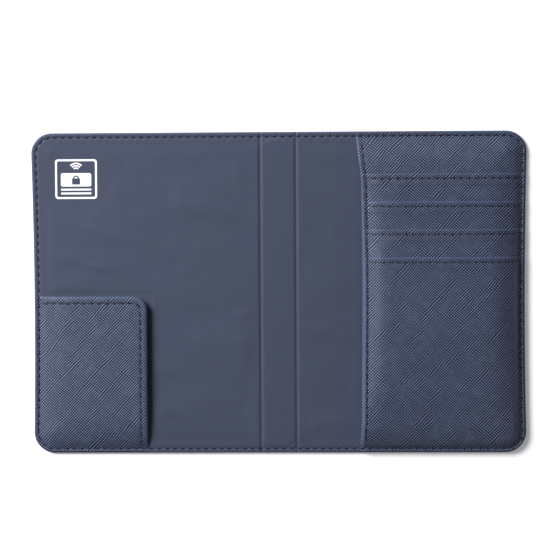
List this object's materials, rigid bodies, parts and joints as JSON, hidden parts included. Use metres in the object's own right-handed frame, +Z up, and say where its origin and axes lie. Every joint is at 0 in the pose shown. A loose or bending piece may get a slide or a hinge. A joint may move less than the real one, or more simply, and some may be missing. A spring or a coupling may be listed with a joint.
{
  "type": "passport holder",
  "caption": "Fold-over passport holder, lying open: stitched skin and lining over two boards, a passport pocket with stepped card slots, and a corner pocket.",
  "frame": {"origin": "centre of the open holder's footprint, on the surface it lies on", "axes": "+X across the spine from the front panel to the back panel, +Y to the top edge of the panels, +Z up, out of the lined inside"},
  "size_m": [0.208, 0.135, 0.0123],
  "materials": {
    "skin": "cross-grain embossed, semi-gloss",
    "lining": "fine plain weave, soft sheen",
    "stiffener": "grey board, matte",
    "interlining": "non-woven felt",
    "shielding": "metallised woven sheet",
    "thread": "twisted polyester thread",
    "mark_print": "screen-printed ink"
  },
  "bodies": {
    "back_panel": {"back_cover": "skin", "back_board": "stiffener", "back_shield": "shielding", "back_lining": "lining", "passport_pocket_panel": "skin", "passport_pocket_lining": "lining", "card_slot_1": "skin", "card_slot_2": "skin", "card_slot_3": "skin", "card_pocket_front": "skin", "card_slot_1_thread": "thread", "card_slot_2_thread": "thread", "card_slot_3_thread": "thread", "card_pocket_front_thread": "thread", "pocket_mouth_thread": "thread", "slot_bottom_threads": "thread", "back_edge_thread_inside": "thread", "back_edge_thread_outside": "thread"},
    "spine": {"spine_cover": "skin", "spine_interlining": "interlining", "spine_lining": "lining", "spine_edge_thread_inside": "thread", "spine_edge_thread_outside": "thread"},
    "front_panel": {"front_cover": "skin", "front_board": "stiffener", "front_shield": "shielding", "front_lining": "lining", "corner_pocket": "skin", "corner_pocket_lining": "lining", "corner_pocket_thread": "thread", "front_edge_thread_inside": "thread", "front_edge_thread_outside": "thread", "shield_mark": "mark_print"}
  },
  "joints": [
    {"name": "back_crease", "type": "hinge", "parent": "back_panel", "child": "spine", "pos_m": [0.007, 0, 0.002], "axis": [0, 1, 0], "range_deg": [0, 90]},
    {"name": "front_crease", "type": "hinge", "parent": "spine", "child": "front_panel", "pos_m": [-0.007, 0, 0.002], "axis": [0, 1, 0], "range_deg": [0, 90]}
  ]
}
